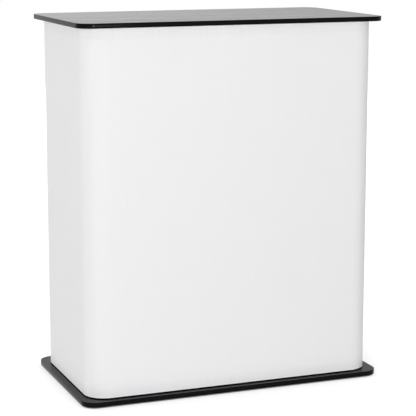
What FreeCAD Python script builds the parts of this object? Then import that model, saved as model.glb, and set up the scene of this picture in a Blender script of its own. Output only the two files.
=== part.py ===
"""A portable trade show counter that comes apart for transport.

Two black boards, each with a smaller plinth board screwed to its inner face, stand apart on four posts.
Each post is two lengths of tube with the shelf clamped between them. A white fluted sheet wraps the front,
the sides and the rear corners, and is held to the plinths by hook and loop tape. The top drops over four
locating pins and lifts off.

Millimetres. +X runs along the front to the right, +Y runs to the rear, +Z is up. The origin is on the
floor, under the middle of the counter.
"""
import FreeCAD, Part
import math
import os

import Sketcher

Vector = FreeCAD.Vector

# Driving sizes
SIZES = {
    # top board and base board
    "board_width": 800.0,
    "board_depth": 440.0,
    "board_thickness": 12.0,
    "board_corner_radius": 36.0,
    "band_thickness": 1.0,
    "band_chamfer": 0.5,
    # inner board on each of them, whose edge carries the wrap
    "plinth_thickness": 18.0,
    # wrap: a sheet of two skins joined by upright ribs
    "overhang": 18.0,
    "wrap_thickness": 4.0,
    "wrap_corner_radius": 55.0,
    "wrap_return": 70.0,
    "wrap_skin": 0.6,
    "wrap_rib": 0.6,
    "flute_pitch": 8.0,
    "wrap_foot_gap": 2.8,
    "wrap_head_gap": 1.0,
    # hook and loop tape
    "tape_thickness": 1.2,
    "tape_edge_margin": 3.2,
    "tape_clearance": 0.3,
    "tape_end_margin": 5.0,
    # posts
    "tube_diameter": 32.0,
    "tube_wall": 1.5,
    "tube_length": 426.0,
    "post_inset": 45.0,
    # flanged plugs in the ends of the tubes
    "insert_flange": 2.0,
    "insert_length": 25.0,
    "insert_clearance": 0.1,
    # shelf
    "shelf_thickness": 12.0,
    # bolts under the base and studs through the shelf
    "thread_diameter": 8.0,
    "thread_clearance": 0.1,
    "thread_grip": 20.0,
    "bolt_hole_clearance": 0.5,
    "bolt_head_diameter": 17.0,
    "bolt_head_height": 2.2,
    "bolt_head_clearance": 0.5,
    "bolt_head_sink": 0.3,
    "bolt_key_width": 5.0,
    "bolt_key_depth": 1.8,
    # locating pins and their sockets in the top
    "pin_diameter": 12.0,
    "pin_end_room": 4.0,
    "pin_lead": 2.0,
    "pin_clearance": 0.3,
    "socket_wall": 2.0,
    "socket_flange_diameter": 28.0,
    "socket_flange_thickness": 1.5,
    "socket_clearance": 0.1,
    # countersunk screws between board and plinth
    "screw_diameter": 4.0,
    "screw_head_diameter": 8.0,
    "screw_bite": 7.0,
    "screw_clearance": 0.1,
    "screw_end_inset": 150.0,
    "screw_edge_inset": 40.0,
    # rubber feet
    "foot_diameter": 30.0,
    "foot_height": 3.0,
    "foot_bevel": 1.2,
    "foot_inset": 48.0,
}

# Plan sizes that follow from the driving sizes
WRAP_WIDTH = "(Sizes.board_width - 2 * Sizes.overhang)"
WRAP_DEPTH = "(Sizes.board_depth - 2 * Sizes.overhang)"
WRAP_OPENING = f"({WRAP_WIDTH} - 2 * (Sizes.wrap_corner_radius + Sizes.wrap_return))"
WRAP_TO_PLINTH = "(Sizes.wrap_thickness + 2 * Sizes.tape_thickness + Sizes.tape_clearance)"
PLINTH_WIDTH = f"({WRAP_WIDTH} - 2 * {WRAP_TO_PLINTH})"
PLINTH_DEPTH = f"({WRAP_DEPTH} - 2 * {WRAP_TO_PLINTH})"
PLINTH_RADIUS = f"(Sizes.wrap_corner_radius - {WRAP_TO_PLINTH})"
TAPE_OPENING = f"({WRAP_OPENING} + 2 * Sizes.tape_end_margin)"
POST_X = f"({PLINTH_WIDTH} / 2 - Sizes.post_inset)"
POST_Y = f"({PLINTH_DEPTH} / 2 - Sizes.post_inset)"
SCREW_X = f"({PLINTH_WIDTH} / 2 - Sizes.screw_end_inset)"
SCREW_Y = f"({PLINTH_DEPTH} / 2 - Sizes.screw_edge_inset)"
FOOT_X = "(Sizes.board_width / 2 - Sizes.foot_inset)"
FOOT_Y = "(Sizes.board_depth / 2 - Sizes.foot_inset)"

# Heights above the floor, from the feet upwards
BASE_FLOOR = "Sizes.foot_height"
BASE_TOP = f"({BASE_FLOOR} + Sizes.board_thickness)"
BASE_PLINTH_TOP = f"({BASE_TOP} + Sizes.plinth_thickness)"
POST_SECTION = "(Sizes.tube_length + 2 * Sizes.insert_flange)"
SHELF_FLOOR = f"({BASE_PLINTH_TOP} + {POST_SECTION})"
SHELF_TOP = f"({SHELF_FLOOR} + Sizes.shelf_thickness)"
TOP_PLINTH_FLOOR = f"({SHELF_TOP} + {POST_SECTION})"
TOP_FLOOR = f"({TOP_PLINTH_FLOOR} + Sizes.plinth_thickness)"
WRAP_FOOT = f"({BASE_TOP} + Sizes.wrap_foot_gap)"
WRAP_HEAD = f"({TOP_FLOOR} - Sizes.wrap_head_gap)"
TAPE_WIDTH = "(Sizes.plinth_thickness - 2 * Sizes.tape_edge_margin)"

# Bores and shanks that fit each other
TUBE_BORE = "(Sizes.tube_diameter - 2 * Sizes.tube_wall)"
INSERT_DIAMETER = f"({TUBE_BORE} - 2 * Sizes.insert_clearance)"
INSERT_BORE = "(Sizes.thread_diameter + 2 * Sizes.thread_clearance)"
BOLT_HOLE = "(Sizes.thread_diameter + 2 * Sizes.bolt_hole_clearance)"
BOLT_RECESS = "(Sizes.bolt_head_diameter + 2 * Sizes.bolt_head_clearance)"
BOLT_RECESS_DEPTH = "(Sizes.bolt_head_height + Sizes.bolt_head_sink)"
SOCKET_BORE = "(Sizes.pin_diameter + 2 * Sizes.pin_clearance)"
SOCKET_DIAMETER = f"({SOCKET_BORE} + 2 * Sizes.socket_wall)"
PIN_HEIGHT = "(Sizes.plinth_thickness - Sizes.pin_end_room)"
SCREW_HOLE = "(Sizes.screw_diameter + 2 * Sizes.screw_clearance)"
SCREW_RECESS = "(Sizes.screw_head_diameter + 2 * Sizes.screw_clearance)"
SCREW_HEAD_HEIGHT = "((Sizes.screw_head_diameter - Sizes.screw_diameter) / 2)"

COUNTERSINK_ANGLE = 90
QUARTER_TURN = 90
HALF_TURN = 180
FULL_TURN = 360
HEX_SIDES = 6

# Where the pieces that repeat stand, as sides of the middle
CORNERS = {
    "front_left": (-1, -1),
    "front_right": (1, -1),
    "rear_left": (-1, 1),
    "rear_right": (1, 1),
}

# Points of a line or arc in a sketch, and the sketch's own origin and axes
START, END, CENTRE = range(1, 4)
SKETCH_X_AXIS, SKETCH_Y_AXIS = range(-1, -3, -1)
SKETCH_ORIGIN = (SKETCH_X_AXIS, START)
UP = Vector(0, 0, 1)

doc = FreeCAD.newDocument("TradeShowCounter")
sheet = doc.addObject("Spreadsheet::Sheet", "Sizes")
nodes = []


def fill_sheet():
    """One row for each driving size: its name, and its number under that name as an alias."""
    for row, (alias, size) in enumerate(SIZES.items(), start=1):
        sheet.set(f"A{row}", alias)
        sheet.set(f"B{row}", str(size))
        sheet.setAlias(f"B{row}", alias)
    doc.recompute()


def number(formula):
    """The value of a formula on the sheet's sizes."""
    return float(sheet.evalExpression(formula))


def new_body(label):
    """A body that becomes one node."""
    body = doc.addObject("PartDesign::Body", label)
    body.Label = label
    return body


def place(piece, x="0", y="0", z="0"):
    """Ties a piece's place to the sheet."""
    for axis, formula in zip("xyz", (x, y, z)):
        piece.setExpression(f"Placement.Base.{axis}", formula)


def keep(piece):
    """Marks a finished piece as a node of the part."""
    nodes.append(piece)
    return piece


# Sketches
def new_sketch(body, name, role="XY_Plane"):
    """A sketch on one of the body's own origin planes."""
    sketch = body.newObject("Sketcher::SketchObject", f"{body.Name}_{name}")
    plane = next(feature for feature in body.Origin.OriginFeatures if feature.Role == role)
    sketch.AttachmentSupport = [(plane, "")]
    sketch.MapMode = "FlatFace"
    return sketch


def direction(degrees):
    """The flat direction at an angle from +X."""
    return Vector(math.cos(math.radians(degrees)), math.sin(math.radians(degrees)), 0)


def constrain(sketch, kind, *points):
    """Adds a constraint and returns its number."""
    return sketch.addConstraint(Sketcher.Constraint(kind, *points))


def bind(sketch, kind, name, formula, *points):
    """Adds a named dimension and ties it to a formula."""
    index = constrain(sketch, kind, *points, number(formula))
    sketch.renameConstraint(index, name)
    sketch.setExpression(f"Constraints.{name}", formula)


def add_rounded_rectangle(sketch, name, width, depth, radius):
    """A rectangle with rounded corners, centred on the sketch's origin."""
    corner = number(radius)
    x = number(width) / 2 - corner
    y = number(depth) / 2 - corner
    centres = [Vector(x, -y, 0), Vector(x, y, 0), Vector(-x, y, 0), Vector(-x, -y, 0)]
    outline = []
    for side, centre in enumerate(centres):
        turn = (side - 1) * QUARTER_TURN
        out = direction(turn) * corner
        outline.append(Part.LineSegment(centres[side - 1] + out, centre + out))
        circle = Part.Circle(centre, UP, corner)
        outline.append(Part.ArcOfCircle(circle, math.radians(turn), math.radians(turn + QUARTER_TURN)))
    first = sketch.addGeometry(outline)[0]
    count = len(outline)
    front, right, rear, left = range(first, first + count, 2)
    arcs = range(first + 1, first + count, 2)
    for step in range(count):
        constrain(sketch, "Tangent", first + step, END, first + (step + 1) % count, START)
    for line in (front, rear):
        constrain(sketch, "Horizontal", line)
    for line in (right, left):
        constrain(sketch, "Vertical", line)
    for arc in arcs[1:]:
        constrain(sketch, "Equal", arcs[0], arc)
    constrain(sketch, "Symmetric", arcs[0], CENTRE, arcs[2], CENTRE, *SKETCH_ORIGIN)
    bind(sketch, "Radius", f"{name}_radius", radius, arcs[0])
    bind(sketch, "DistanceX", f"{name}_width", width, left, START, right, START)
    bind(sketch, "DistanceY", f"{name}_depth", depth, front, START, rear, START)


def add_circle(sketch, name, diameter, x="0", y="0"):
    """A circle whose centre is tied to the sheet."""
    centre = Vector(number(x), number(y), 0)
    circle = sketch.addGeometry(Part.Circle(centre, UP, number(diameter) / 2))
    bind(sketch, "Diameter", f"{name}_diameter", diameter, circle)
    hold_point(sketch, name, circle, CENTRE, x, y)


def hold_point(sketch, name, geometry, point, x, y):
    """Ties a point to the sheet, or to an axis where a coordinate is nought."""
    if x == "0" and y == "0":
        constrain(sketch, "Coincident", geometry, point, *SKETCH_ORIGIN)
        return
    if x == "0":
        constrain(sketch, "PointOnObject", geometry, point, SKETCH_Y_AXIS)
    else:
        bind(sketch, "DistanceX", f"{name}_x", x, *SKETCH_ORIGIN, geometry, point)
    if y == "0":
        constrain(sketch, "PointOnObject", geometry, point, SKETCH_X_AXIS)
    else:
        bind(sketch, "DistanceY", f"{name}_y", y, *SKETCH_ORIGIN, geometry, point)


def add_polygon(sketch, corners):
    """A closed outline of straight lines through corners given as formulas."""
    places = [Vector(number(x), number(y), 0) for x, y in corners]
    count = len(places)
    sides = [Part.LineSegment(places[i], places[(i + 1) % count]) for i in range(count)]
    first = sketch.addGeometry(sides)[0]
    for i, (x, y) in enumerate(corners):
        constrain(sketch, "Coincident", first + (i - 1) % count, END, first + i, START)
        hold_point(sketch, f"corner_{i}", first + i, START, x, y)


def add_hexagon(sketch, across_flats):
    """A hexagon round the sketch's origin, two of its sides upright."""
    across_corners = f"({across_flats} / cos({HALF_TURN / HEX_SIDES} deg))"
    reach = number(across_corners) / 2
    turns = [(i + 0.5) * FULL_TURN / HEX_SIDES for i in range(HEX_SIDES)]
    corners = [direction(turn) * reach for turn in turns]
    sides = [Part.LineSegment(corners[i - 1], corners[i]) for i in range(HEX_SIDES)]
    first = sketch.addGeometry(sides)[0]
    circle = sketch.addGeometry(Part.Circle(Vector(0, 0, 0), UP, reach), True)
    constrain(sketch, "Coincident", circle, CENTRE, *SKETCH_ORIGIN)
    for i in range(HEX_SIDES):
        constrain(sketch, "Coincident", first + (i - 1) % HEX_SIDES, END, first + i, START)
        constrain(sketch, "PointOnObject", first + i, START, circle)
    for i in range(1, HEX_SIDES):
        constrain(sketch, "Equal", first, first + i)
    constrain(sketch, "Vertical", first)
    bind(sketch, "Diameter", "across_corners", across_corners, circle)


def signed(sign, formula):
    """A coordinate on the given side of the middle."""
    return formula if sign > 0 else f"-{formula}"


# Features
def pad(body, sketch, length):
    """Raises a sketch into a solid."""
    feature = body.newObject("PartDesign::Pad", f"{body.Name}_pad")
    feature.Profile = sketch
    feature.setExpression("Length", length)
    doc.recompute()
    return feature


def pocket(body, sketch, depth):
    """Cuts a sketch upwards into the body."""
    before = body.Shape.Volume
    feature = body.newObject("PartDesign::Pocket", f"{sketch.Name}_pocket")
    feature.Profile = sketch
    feature.Reversed = True
    feature.setExpression("Length", depth)
    doc.recompute()
    must_cut(body, before)
    return feature


def must_cut(body, before):
    """Stops the build where a cut took nothing away."""
    if body.Shape.Volume >= before:
        raise RuntimeError(f"a cut in {body.Label} took nothing away")


def revolve(body, corners):
    """Turns an outline, given as radius and height, round the upright axis."""
    sketch = new_sketch(body, "profile", "XZ_Plane")
    add_polygon(sketch, corners)
    feature = body.newObject("PartDesign::Revolution", f"{body.Name}_turned")
    feature.Profile = sketch
    feature.ReferenceAxis = (sketch, ["V_Axis"])
    feature.Angle = FULL_TURN
    doc.recompute()
    return feature


def drill(body, name, places, x, y, diameter, depth=None, recess=None):
    """Drills a hole upwards from the underside at each place, through the piece unless it has a depth.

    A recess is ("Counterbore", diameter, depth) or ("Countersink", diameter).
    """
    sketch = new_sketch(body, name)
    for i, (side_x, side_y) in enumerate(places):
        add_circle(sketch, f"hole_{i}", diameter, signed(side_x, x), signed(side_y, y))
    doc.recompute()
    before = body.Shape.Volume
    hole = body.newObject("PartDesign::Hole", f"{sketch.Name}_drilled")
    hole.Profile = sketch
    doc.recompute()
    hole.Reversed = True
    hole.Threaded = False
    hole.ThreadType = "None"
    hole.DrillPoint = "Flat"
    hole.setExpression("Diameter", diameter)
    if depth:
        hole.DepthType = "Dimension"
        hole.setExpression("Depth", depth)
    else:
        hole.DepthType = "ThroughAll"
    if recess:
        hole.HoleCutType = recess[0]
        hole.HoleCutCustomValues = True
        hole.setExpression("HoleCutDiameter", recess[1])
        if recess[0] == "Countersink":
            hole.HoleCutCountersinkAngle = COUNTERSINK_ANGLE
        else:
            hole.setExpression("HoleCutDepth", recess[2])
    doc.recompute()
    must_cut(body, before)
    return hole


def chamfer_outer_edges(body, size):
    """Chamfers the upper and lower outer edges of a ring."""
    base = body.Tip
    shape = base.Shape
    ring_faces = [face for face in shape.Faces if len(face.Wires) > 1]
    outer = [edge.hashCode() for face in ring_faces for edge in face.OuterWire.Edges]
    names = [f"Edge{i}" for i, edge in enumerate(shape.Edges, start=1) if edge.hashCode() in outer]
    chamfer = body.newObject("PartDesign::Chamfer", f"{body.Name}_soft_edges")
    chamfer.Base = (base, names)
    chamfer.setExpression("Size", size)
    doc.recompute()
    return chamfer


def group(label, pieces_of, places, x, y, z, flipped=False):
    """A node of separate, identical solids, one at each place, upside down if flipped."""
    copies = []
    for i, (side_x, side_y) in enumerate(places, start=1):
        copy = doc.addObject("App::Link", f"{label}_{i}")
        copy.LinkedObject = pieces_of
        copy.LinkTransform = False
        if flipped:
            copy.Placement.Rotation = FreeCAD.Rotation(Vector(1, 0, 0), HALF_TURN)
        place(copy, signed(side_x, x), signed(side_y, y), z)
        copies.append(copy)
    node = doc.addObject("Part::Compound", label)
    node.Label = label
    node.Links = copies
    doc.recompute()
    return keep(node)


# Boards
def make_board(label, width, depth, radius, thickness, floor):
    """A flat board with rounded corners, its underside at the given height."""
    body = new_body(label)
    sketch = new_sketch(body, "outline")
    add_rounded_rectangle(sketch, "board", width, depth, radius)
    pad(body, sketch, thickness)
    place(body, z=floor)
    return keep(body)


def make_edge_band(label, width, depth, radius, thickness, floor):
    """The strip glued round a board's edge, its outer edges eased."""
    body = new_body(label)
    sketch = new_sketch(body, "outline")
    add_rounded_rectangle(sketch, "outer", width, depth, radius)
    add_rounded_rectangle(sketch, "inner", inside(width), inside(depth), inside_corner(radius))
    pad(body, sketch, thickness)
    chamfer_outer_edges(body, "Sizes.band_chamfer")
    place(body, z=floor)
    return keep(body)


def inside(size):
    """A board's size within its edge band."""
    return f"({size} - 2 * Sizes.band_thickness)"


def inside_corner(radius):
    """A board's corner radius within its edge band."""
    return f"({radius} - Sizes.band_thickness)"


def make_banded_board(name, width, depth, radius, thickness, floor):
    """A board and the band round it."""
    board = make_board(
        f"{name}_board", inside(width), inside(depth), inside_corner(radius), thickness, floor
    )
    make_edge_band(f"{name}_edge_band", width, depth, radius, thickness, floor)
    return board


def make_plinth(label, floor):
    """The inner board whose edge carries the wrap."""
    return make_board(label, PLINTH_WIDTH, PLINTH_DEPTH, PLINTH_RADIUS, "Sizes.plinth_thickness", floor)


def make_base():
    """Base board and plinth, with holes for the post bolts and the screws that join the two."""
    board = make_banded_board(
        "base", "Sizes.board_width", "Sizes.board_depth", "Sizes.board_corner_radius",
        "Sizes.board_thickness", BASE_FLOOR,
    )
    bolt_recess = ("Counterbore", BOLT_RECESS, BOLT_RECESS_DEPTH)
    drill(board, "bolt_holes", CORNERS.values(), POST_X, POST_Y, BOLT_HOLE, recess=bolt_recess)
    screw_recess = ("Countersink", SCREW_RECESS)
    drill(board, "screw_holes", CORNERS.values(), SCREW_X, SCREW_Y, SCREW_HOLE, recess=screw_recess)
    plinth = make_plinth("base_plinth", BASE_TOP)
    drill(plinth, "bolt_holes", CORNERS.values(), POST_X, POST_Y, BOLT_HOLE)
    drill(plinth, "pilot_holes", CORNERS.values(), SCREW_X, SCREW_Y, SCREW_HOLE, depth="Sizes.screw_bite")


def make_top():
    """Top plinth, with seats for the pin sockets, and the top board screwed on it."""
    plinth = make_plinth("top_plinth", TOP_PLINTH_FLOOR)
    seat = f"({SOCKET_DIAMETER} + 2 * Sizes.socket_clearance)"
    flange_seat = "(Sizes.socket_flange_diameter + 2 * Sizes.socket_clearance)"
    socket_recess = ("Counterbore", flange_seat, "Sizes.socket_flange_thickness")
    drill(plinth, "socket_holes", CORNERS.values(), POST_X, POST_Y, seat, recess=socket_recess)
    screw_recess = ("Countersink", SCREW_RECESS)
    drill(plinth, "screw_holes", CORNERS.values(), SCREW_X, SCREW_Y, SCREW_HOLE, recess=screw_recess)
    board = make_banded_board(
        "top", "Sizes.board_width", "Sizes.board_depth", "Sizes.board_corner_radius",
        "Sizes.board_thickness", TOP_FLOOR,
    )
    drill(board, "pilot_holes", CORNERS.values(), SCREW_X, SCREW_Y, SCREW_HOLE, depth="Sizes.screw_bite")


def make_shelf():
    """The shelf, clamped between the lower and the upper posts by studs through its holes."""
    board = make_banded_board(
        "shelf", PLINTH_WIDTH, PLINTH_DEPTH, PLINTH_RADIUS, "Sizes.shelf_thickness", SHELF_FLOOR
    )
    drill(board, "stud_holes", CORNERS.values(), POST_X, POST_Y, BOLT_HOLE)


# Posts and their fittings
def make_tube(label, corner, floor):
    """One length of tube, between the flanges of the plugs in its ends."""
    side_x, side_y = corner
    body = new_body(label)
    sketch = new_sketch(body, "section")
    add_circle(sketch, "outside", "Sizes.tube_diameter")
    add_circle(sketch, "bore", TUBE_BORE)
    pad(body, sketch, "Sizes.tube_length")
    place(body, signed(side_x, POST_X), signed(side_y, POST_Y), f"({floor} + Sizes.insert_flange)")
    return keep(body)


def make_insert():
    """A flanged plug with a threaded bore, flange down."""
    body = new_body("insert")
    bore = f"({INSERT_BORE} / 2)"
    shank = f"({INSERT_DIAMETER} / 2)"
    shank_top = "(Sizes.insert_flange + Sizes.insert_length)"
    revolve(body, [
        (bore, "0"),
        ("(Sizes.tube_diameter / 2)", "0"),
        ("(Sizes.tube_diameter / 2)", "Sizes.insert_flange"),
        (shank, "Sizes.insert_flange"),
        (shank, shank_top),
        (bore, shank_top),
    ])
    return body


def make_pin():
    """A plug for the head of an upper post: shank below, flange on the tube's end, chamfered pin on top."""
    body = new_body("pin")
    shank = f"({INSERT_DIAMETER} / 2)"
    flange_top = "(Sizes.insert_length + Sizes.insert_flange)"
    pin_top = f"({flange_top} + {PIN_HEIGHT})"
    revolve(body, [
        ("0", "0"),
        (shank, "0"),
        (shank, "Sizes.insert_length"),
        ("(Sizes.tube_diameter / 2)", "Sizes.insert_length"),
        ("(Sizes.tube_diameter / 2)", flange_top),
        ("(Sizes.pin_diameter / 2)", flange_top),
        ("(Sizes.pin_diameter / 2)", f"({pin_top} - Sizes.pin_lead)"),
        ("(Sizes.pin_diameter / 2 - Sizes.pin_lead)", pin_top),
        ("0", pin_top),
    ])
    return body


def make_socket():
    """A flanged bush through the top plinth, flange down, whose bore drops over a locating pin."""
    body = new_body("socket")
    bore = f"({SOCKET_BORE} / 2)"
    revolve(body, [
        (bore, "0"),
        ("(Sizes.socket_flange_diameter / 2)", "0"),
        ("(Sizes.socket_flange_diameter / 2)", "Sizes.socket_flange_thickness"),
        (f"({SOCKET_DIAMETER} / 2)", "Sizes.socket_flange_thickness"),
        (f"({SOCKET_DIAMETER} / 2)", "Sizes.plinth_thickness"),
        (bore, "Sizes.plinth_thickness"),
    ])
    return body


def make_bolt():
    """A flat-headed bolt, head down, with a hexagonal key hole."""
    body = new_body("bolt")
    thread = "(Sizes.thread_diameter / 2)"
    through = f"(Sizes.board_thickness - {BOLT_RECESS_DEPTH} + Sizes.plinth_thickness)"
    tip = f"(Sizes.bolt_head_height + {through} + Sizes.thread_grip)"
    revolve(body, [
        ("0", "0"),
        ("(Sizes.bolt_head_diameter / 2)", "0"),
        ("(Sizes.bolt_head_diameter / 2)", "Sizes.bolt_head_height"),
        (thread, "Sizes.bolt_head_height"),
        (thread, tip),
        ("0", tip),
    ])
    key = new_sketch(body, "key_hole")
    add_hexagon(key, "Sizes.bolt_key_width")
    pocket(body, key, "Sizes.bolt_key_depth")
    return body


def make_stud():
    """A plain stud that joins an upper post to a lower one, through the shelf."""
    body = new_body("stud")
    thread = "(Sizes.thread_diameter / 2)"
    length = "(Sizes.shelf_thickness + 2 * Sizes.thread_grip)"
    revolve(body, [
        ("0", "0"),
        (thread, "0"),
        (thread, length),
        ("0", length),
    ])
    return body


def make_screw(label, through):
    """A countersunk wood screw, head down, long enough to pass one board and bite into the next."""
    body = new_body(label)
    shank = "(Sizes.screw_diameter / 2)"
    length = f"({through} + Sizes.screw_bite)"
    revolve(body, [
        ("0", "0"),
        ("(Sizes.screw_head_diameter / 2)", "0"),
        (shank, SCREW_HEAD_HEIGHT),
        (shank, length),
        ("0", length),
    ])
    return body


def make_foot():
    """A rubber pad, bevelled where it meets the floor."""
    body = new_body("foot")
    radius = "(Sizes.foot_diameter / 2)"
    revolve(body, [
        ("0", "0"),
        (f"({radius} - Sizes.foot_bevel)", "0"),
        (radius, "Sizes.foot_bevel"),
        (radius, "Sizes.foot_height"),
        ("0", "Sizes.foot_height"),
    ])
    return body


def make_posts():
    """Eight equal tubes, with the plugs in their ends and the bolts and studs that join them."""
    for corner, sides in CORNERS.items():
        make_tube(f"lower_post_{corner}", sides, BASE_PLINTH_TOP)
        make_tube(f"upper_post_{corner}", sides, SHELF_TOP)
    corners = CORNERS.values()
    insert = make_insert()
    group("lower_post_foot_inserts", insert, corners, POST_X, POST_Y, BASE_PLINTH_TOP)
    group("upper_post_foot_inserts", insert, corners, POST_X, POST_Y, SHELF_TOP)
    group("lower_post_head_inserts", insert, corners, POST_X, POST_Y, SHELF_FLOOR, flipped=True)
    pin_floor = f"({TOP_PLINTH_FLOOR} - Sizes.insert_length - Sizes.insert_flange)"
    group("post_pins", make_pin(), corners, POST_X, POST_Y, pin_floor)
    group("pin_sockets", make_socket(), corners, POST_X, POST_Y, TOP_PLINTH_FLOOR)
    group("post_bolts", make_bolt(), corners, POST_X, POST_Y, f"({BASE_FLOOR} + Sizes.bolt_head_sink)")
    group("joining_studs", make_stud(), corners, POST_X, POST_Y, f"({SHELF_FLOOR} - Sizes.thread_grip)")


def make_screws_and_feet():
    """Screws up through each board into its neighbour, and the pads under the base."""
    base_screw = make_screw("base_screw", "Sizes.board_thickness")
    group("base_plinth_screws", base_screw, CORNERS.values(), SCREW_X, SCREW_Y, BASE_FLOOR)
    top_screw = make_screw("top_screw", "Sizes.plinth_thickness")
    group("top_plinth_screws", top_screw, CORNERS.values(), SCREW_X, SCREW_Y, TOP_PLINTH_FLOOR)
    group("rubber_feet", make_foot(), CORNERS.values(), FOOT_X, FOOT_Y, "0")


# Wrap and tapes
def wrap_outline(depth):
    """A line at a depth below the wrap's outer face, as edges from the right rear end round to the left."""
    x = number(WRAP_WIDTH) / 2
    y = number(WRAP_DEPTH) / 2
    corner = number("Sizes.wrap_corner_radius")
    end = number(WRAP_OPENING) / 2
    last = Vector(end, y - depth, 0)
    edges = []
    for step, (side_x, side_y) in enumerate([(1, 1), (1, -1), (-1, -1), (-1, 1)]):
        centre = Vector(side_x * (x - corner), side_y * (y - corner), 0)
        turns = ((1 - step - part) * QUARTER_TURN for part in (0, 0.5, 1))
        begin, middle, after = (centre + direction(turn) * (corner - depth) for turn in turns)
        edges.append(Part.LineSegment(last, begin).toShape())
        edges.append(Part.Arc(begin, middle, after).toShape())
        last = after
    edges.append(Part.LineSegment(last, Vector(-end, y - depth, 0)).toShape())
    return edges


def flute_outlines():
    """The open channels of the sheet, seen from above: rows of cells between ribs, all round the wrap."""
    skin = number("Sizes.wrap_skin")
    rib = number("Sizes.wrap_rib")
    pitch = number("Sizes.flute_pitch")
    outer_line = wrap_outline(skin)
    inner_line = wrap_outline(number("Sizes.wrap_thickness") - skin)
    cells = []
    for outer, inner in zip(outer_line, inner_line):
        count = max(1, round((outer.Length + inner.Length) / 2 / pitch))
        for i in range(count):
            outer_wall = cell_wall(outer, i, count, rib)
            inner_wall = cell_wall(inner, i, count, rib)
            cells.append(Part.makePolygon(outer_wall + inner_wall[::-1] + outer_wall[:1]))
    return cells


def cell_wall(edge, i, count, rib):
    """The two ends of one cell's wall. The cells share an edge equally, with half a rib at each end."""
    step = edge.Length / count
    return [point_along(edge, i * step + rib / 2), point_along(edge, (i + 1) * step - rib / 2)]


def point_along(edge, distance):
    """The point of an edge at a distance from its start."""
    return edge.valueAt(edge.getParameterByLength(distance))


def make_wrap():
    """The fluted sheet, as one run round the front, the sides and the rear corners."""
    outer = wrap_outline(0)
    inner = wrap_outline(number("Sizes.wrap_thickness"))
    left_end = Part.makeLine(last_point(outer), last_point(inner))
    right_end = Part.makeLine(first_point(inner), first_point(outer))
    rim = Part.Wire(outer + [left_end] + inner[::-1] + [right_end])
    section = Part.makeFace([rim] + flute_outlines(), "Part::FaceMakerBullseye")
    height = number(f"{WRAP_HEAD} - {WRAP_FOOT}")
    node = doc.addObject("Part::Feature", "wrap_panel")
    node.Label = "wrap_panel"
    node.Shape = section.extrude(Vector(0, 0, height))
    place(node, z=WRAP_FOOT)
    return keep(node)


def first_point(edges):
    """Where a run of edges starts."""
    return edges[0].valueAt(edges[0].FirstParameter)


def last_point(edges):
    """Where a run of edges ends."""
    return edges[-1].valueAt(edges[-1].LastParameter)


def make_tape(label, plinth_floor, outer_depth):
    """A strip of tape round a plinth, open at the rear, its outer face at a depth below the wrap's face."""
    inner_depth = f"({outer_depth} + Sizes.tape_thickness)"
    body = new_body(label)
    sketch = new_sketch(body, "outline")
    for name, depth in (("outer", outer_depth), ("inner", inner_depth)):
        width = f"({WRAP_WIDTH} - 2 * {depth})"
        deep = f"({WRAP_DEPTH} - 2 * {depth})"
        add_rounded_rectangle(sketch, name, width, deep, f"(Sizes.wrap_corner_radius - {depth})")
    pad(body, sketch, TAPE_WIDTH)
    gap = new_sketch(body, "rear_gap")
    half_gap = f"({TAPE_OPENING} / 2)"
    rear = f"({WRAP_DEPTH} / 2)"
    add_polygon(gap, [
        (f"-{half_gap}", "0"),
        (half_gap, "0"),
        (half_gap, rear),
        (f"-{half_gap}", rear),
    ])
    pocket(body, gap, TAPE_WIDTH)
    place(body, z=f"({plinth_floor} + Sizes.tape_edge_margin)")
    return keep(body)


def make_tapes():
    """Loop tape on the wrap's inner face and hook tape on each plinth's edge, facing each other."""
    loop_depth = "Sizes.wrap_thickness"
    hook_depth = "(Sizes.wrap_thickness + Sizes.tape_thickness + Sizes.tape_clearance)"
    make_tape("wrap_lower_loop_tape", BASE_TOP, loop_depth)
    make_tape("wrap_upper_loop_tape", TOP_PLINTH_FLOOR, loop_depth)
    make_tape("base_hook_tape", BASE_TOP, hook_depth)
    make_tape("top_hook_tape", TOP_PLINTH_FLOOR, hook_depth)


def check_document():
    """Stops the build if any object failed or any node has no valid solid."""
    doc.recompute()
    for item in doc.Objects:
        if "Invalid" in item.State or "Error" in item.State:
            raise RuntimeError(f"{item.Label} failed: {item.State}")
    for node in nodes:
        if node.Shape.isNull() or not node.Shape.isValid() or not node.Shape.Solids:
            raise RuntimeError(f"{node.Label} has no valid solid")


def write_nodes():
    """Writes each node to a file of its own name."""
    os.makedirs("parts", exist_ok=True)
    for node in nodes:
        node.Shape.exportStep(f"parts/{node.Label}.step")
        box = node.Shape.BoundBox
        print(f"{node.Label}: {len(node.Shape.Solids)} solids, {box.XLength:.1f} x {box.YLength:.1f} x "
              f"{box.ZLength:.1f}, from z {box.ZMin:.1f}")


fill_sheet()
make_base()
make_top()
make_shelf()
make_posts()
make_screws_and_feet()
make_wrap()
make_tapes()
check_document()
write_nodes()
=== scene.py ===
"""Dresses a portable trade show counter and stands it in a plain studio.

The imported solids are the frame. Pieces whose solids are right keep them and get a finish. The
edge bands, the fluted wrap and the screws are made again here in finer detail, in the same places.

Metres. +X runs along the front to the right, +Y runs to the open rear, +Z is up.
"""
import math
from collections import namedtuple

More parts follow.
